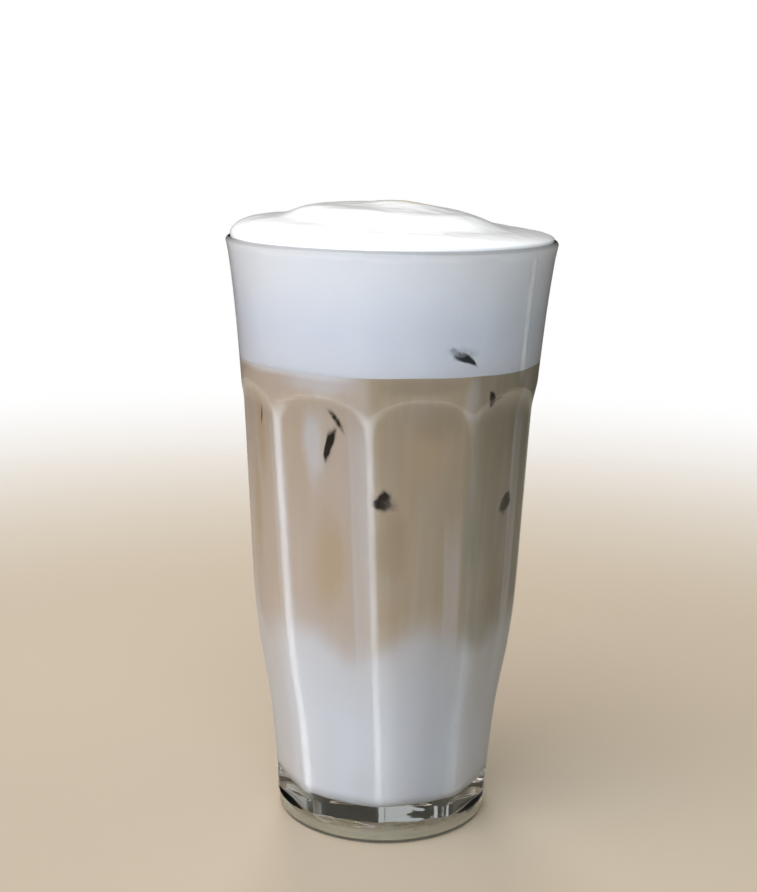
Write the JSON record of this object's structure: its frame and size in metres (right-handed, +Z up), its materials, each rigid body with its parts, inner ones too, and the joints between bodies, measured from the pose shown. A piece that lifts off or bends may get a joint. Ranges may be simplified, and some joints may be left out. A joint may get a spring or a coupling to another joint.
{
  "type": "iced cappuccino in a fluted glass",
  "caption": "Iced cappuccino in a tall fluted glass: white milk, coffee milk and a cap of milk foam that domes above the lip.",
  "frame": {"origin": "centre of the foot, on the surface that the glass stands on", "axes": "+Z up along the glass's axis, -Y towards the shown side"},
  "size_m": [0.0784, 0.0784, 0.1518],
  "materials": {
    "clear_glass": "clear, fire-polished",
    "white_milk": null,
    "coffee_milk": null,
    "milk_foam": null
  },
  "bodies": {
    "root": {"glass": "clear_glass", "milk_layer": "white_milk", "coffee_layer": "coffee_milk", "foam": "milk_foam"}
  },
  "joints": []
}
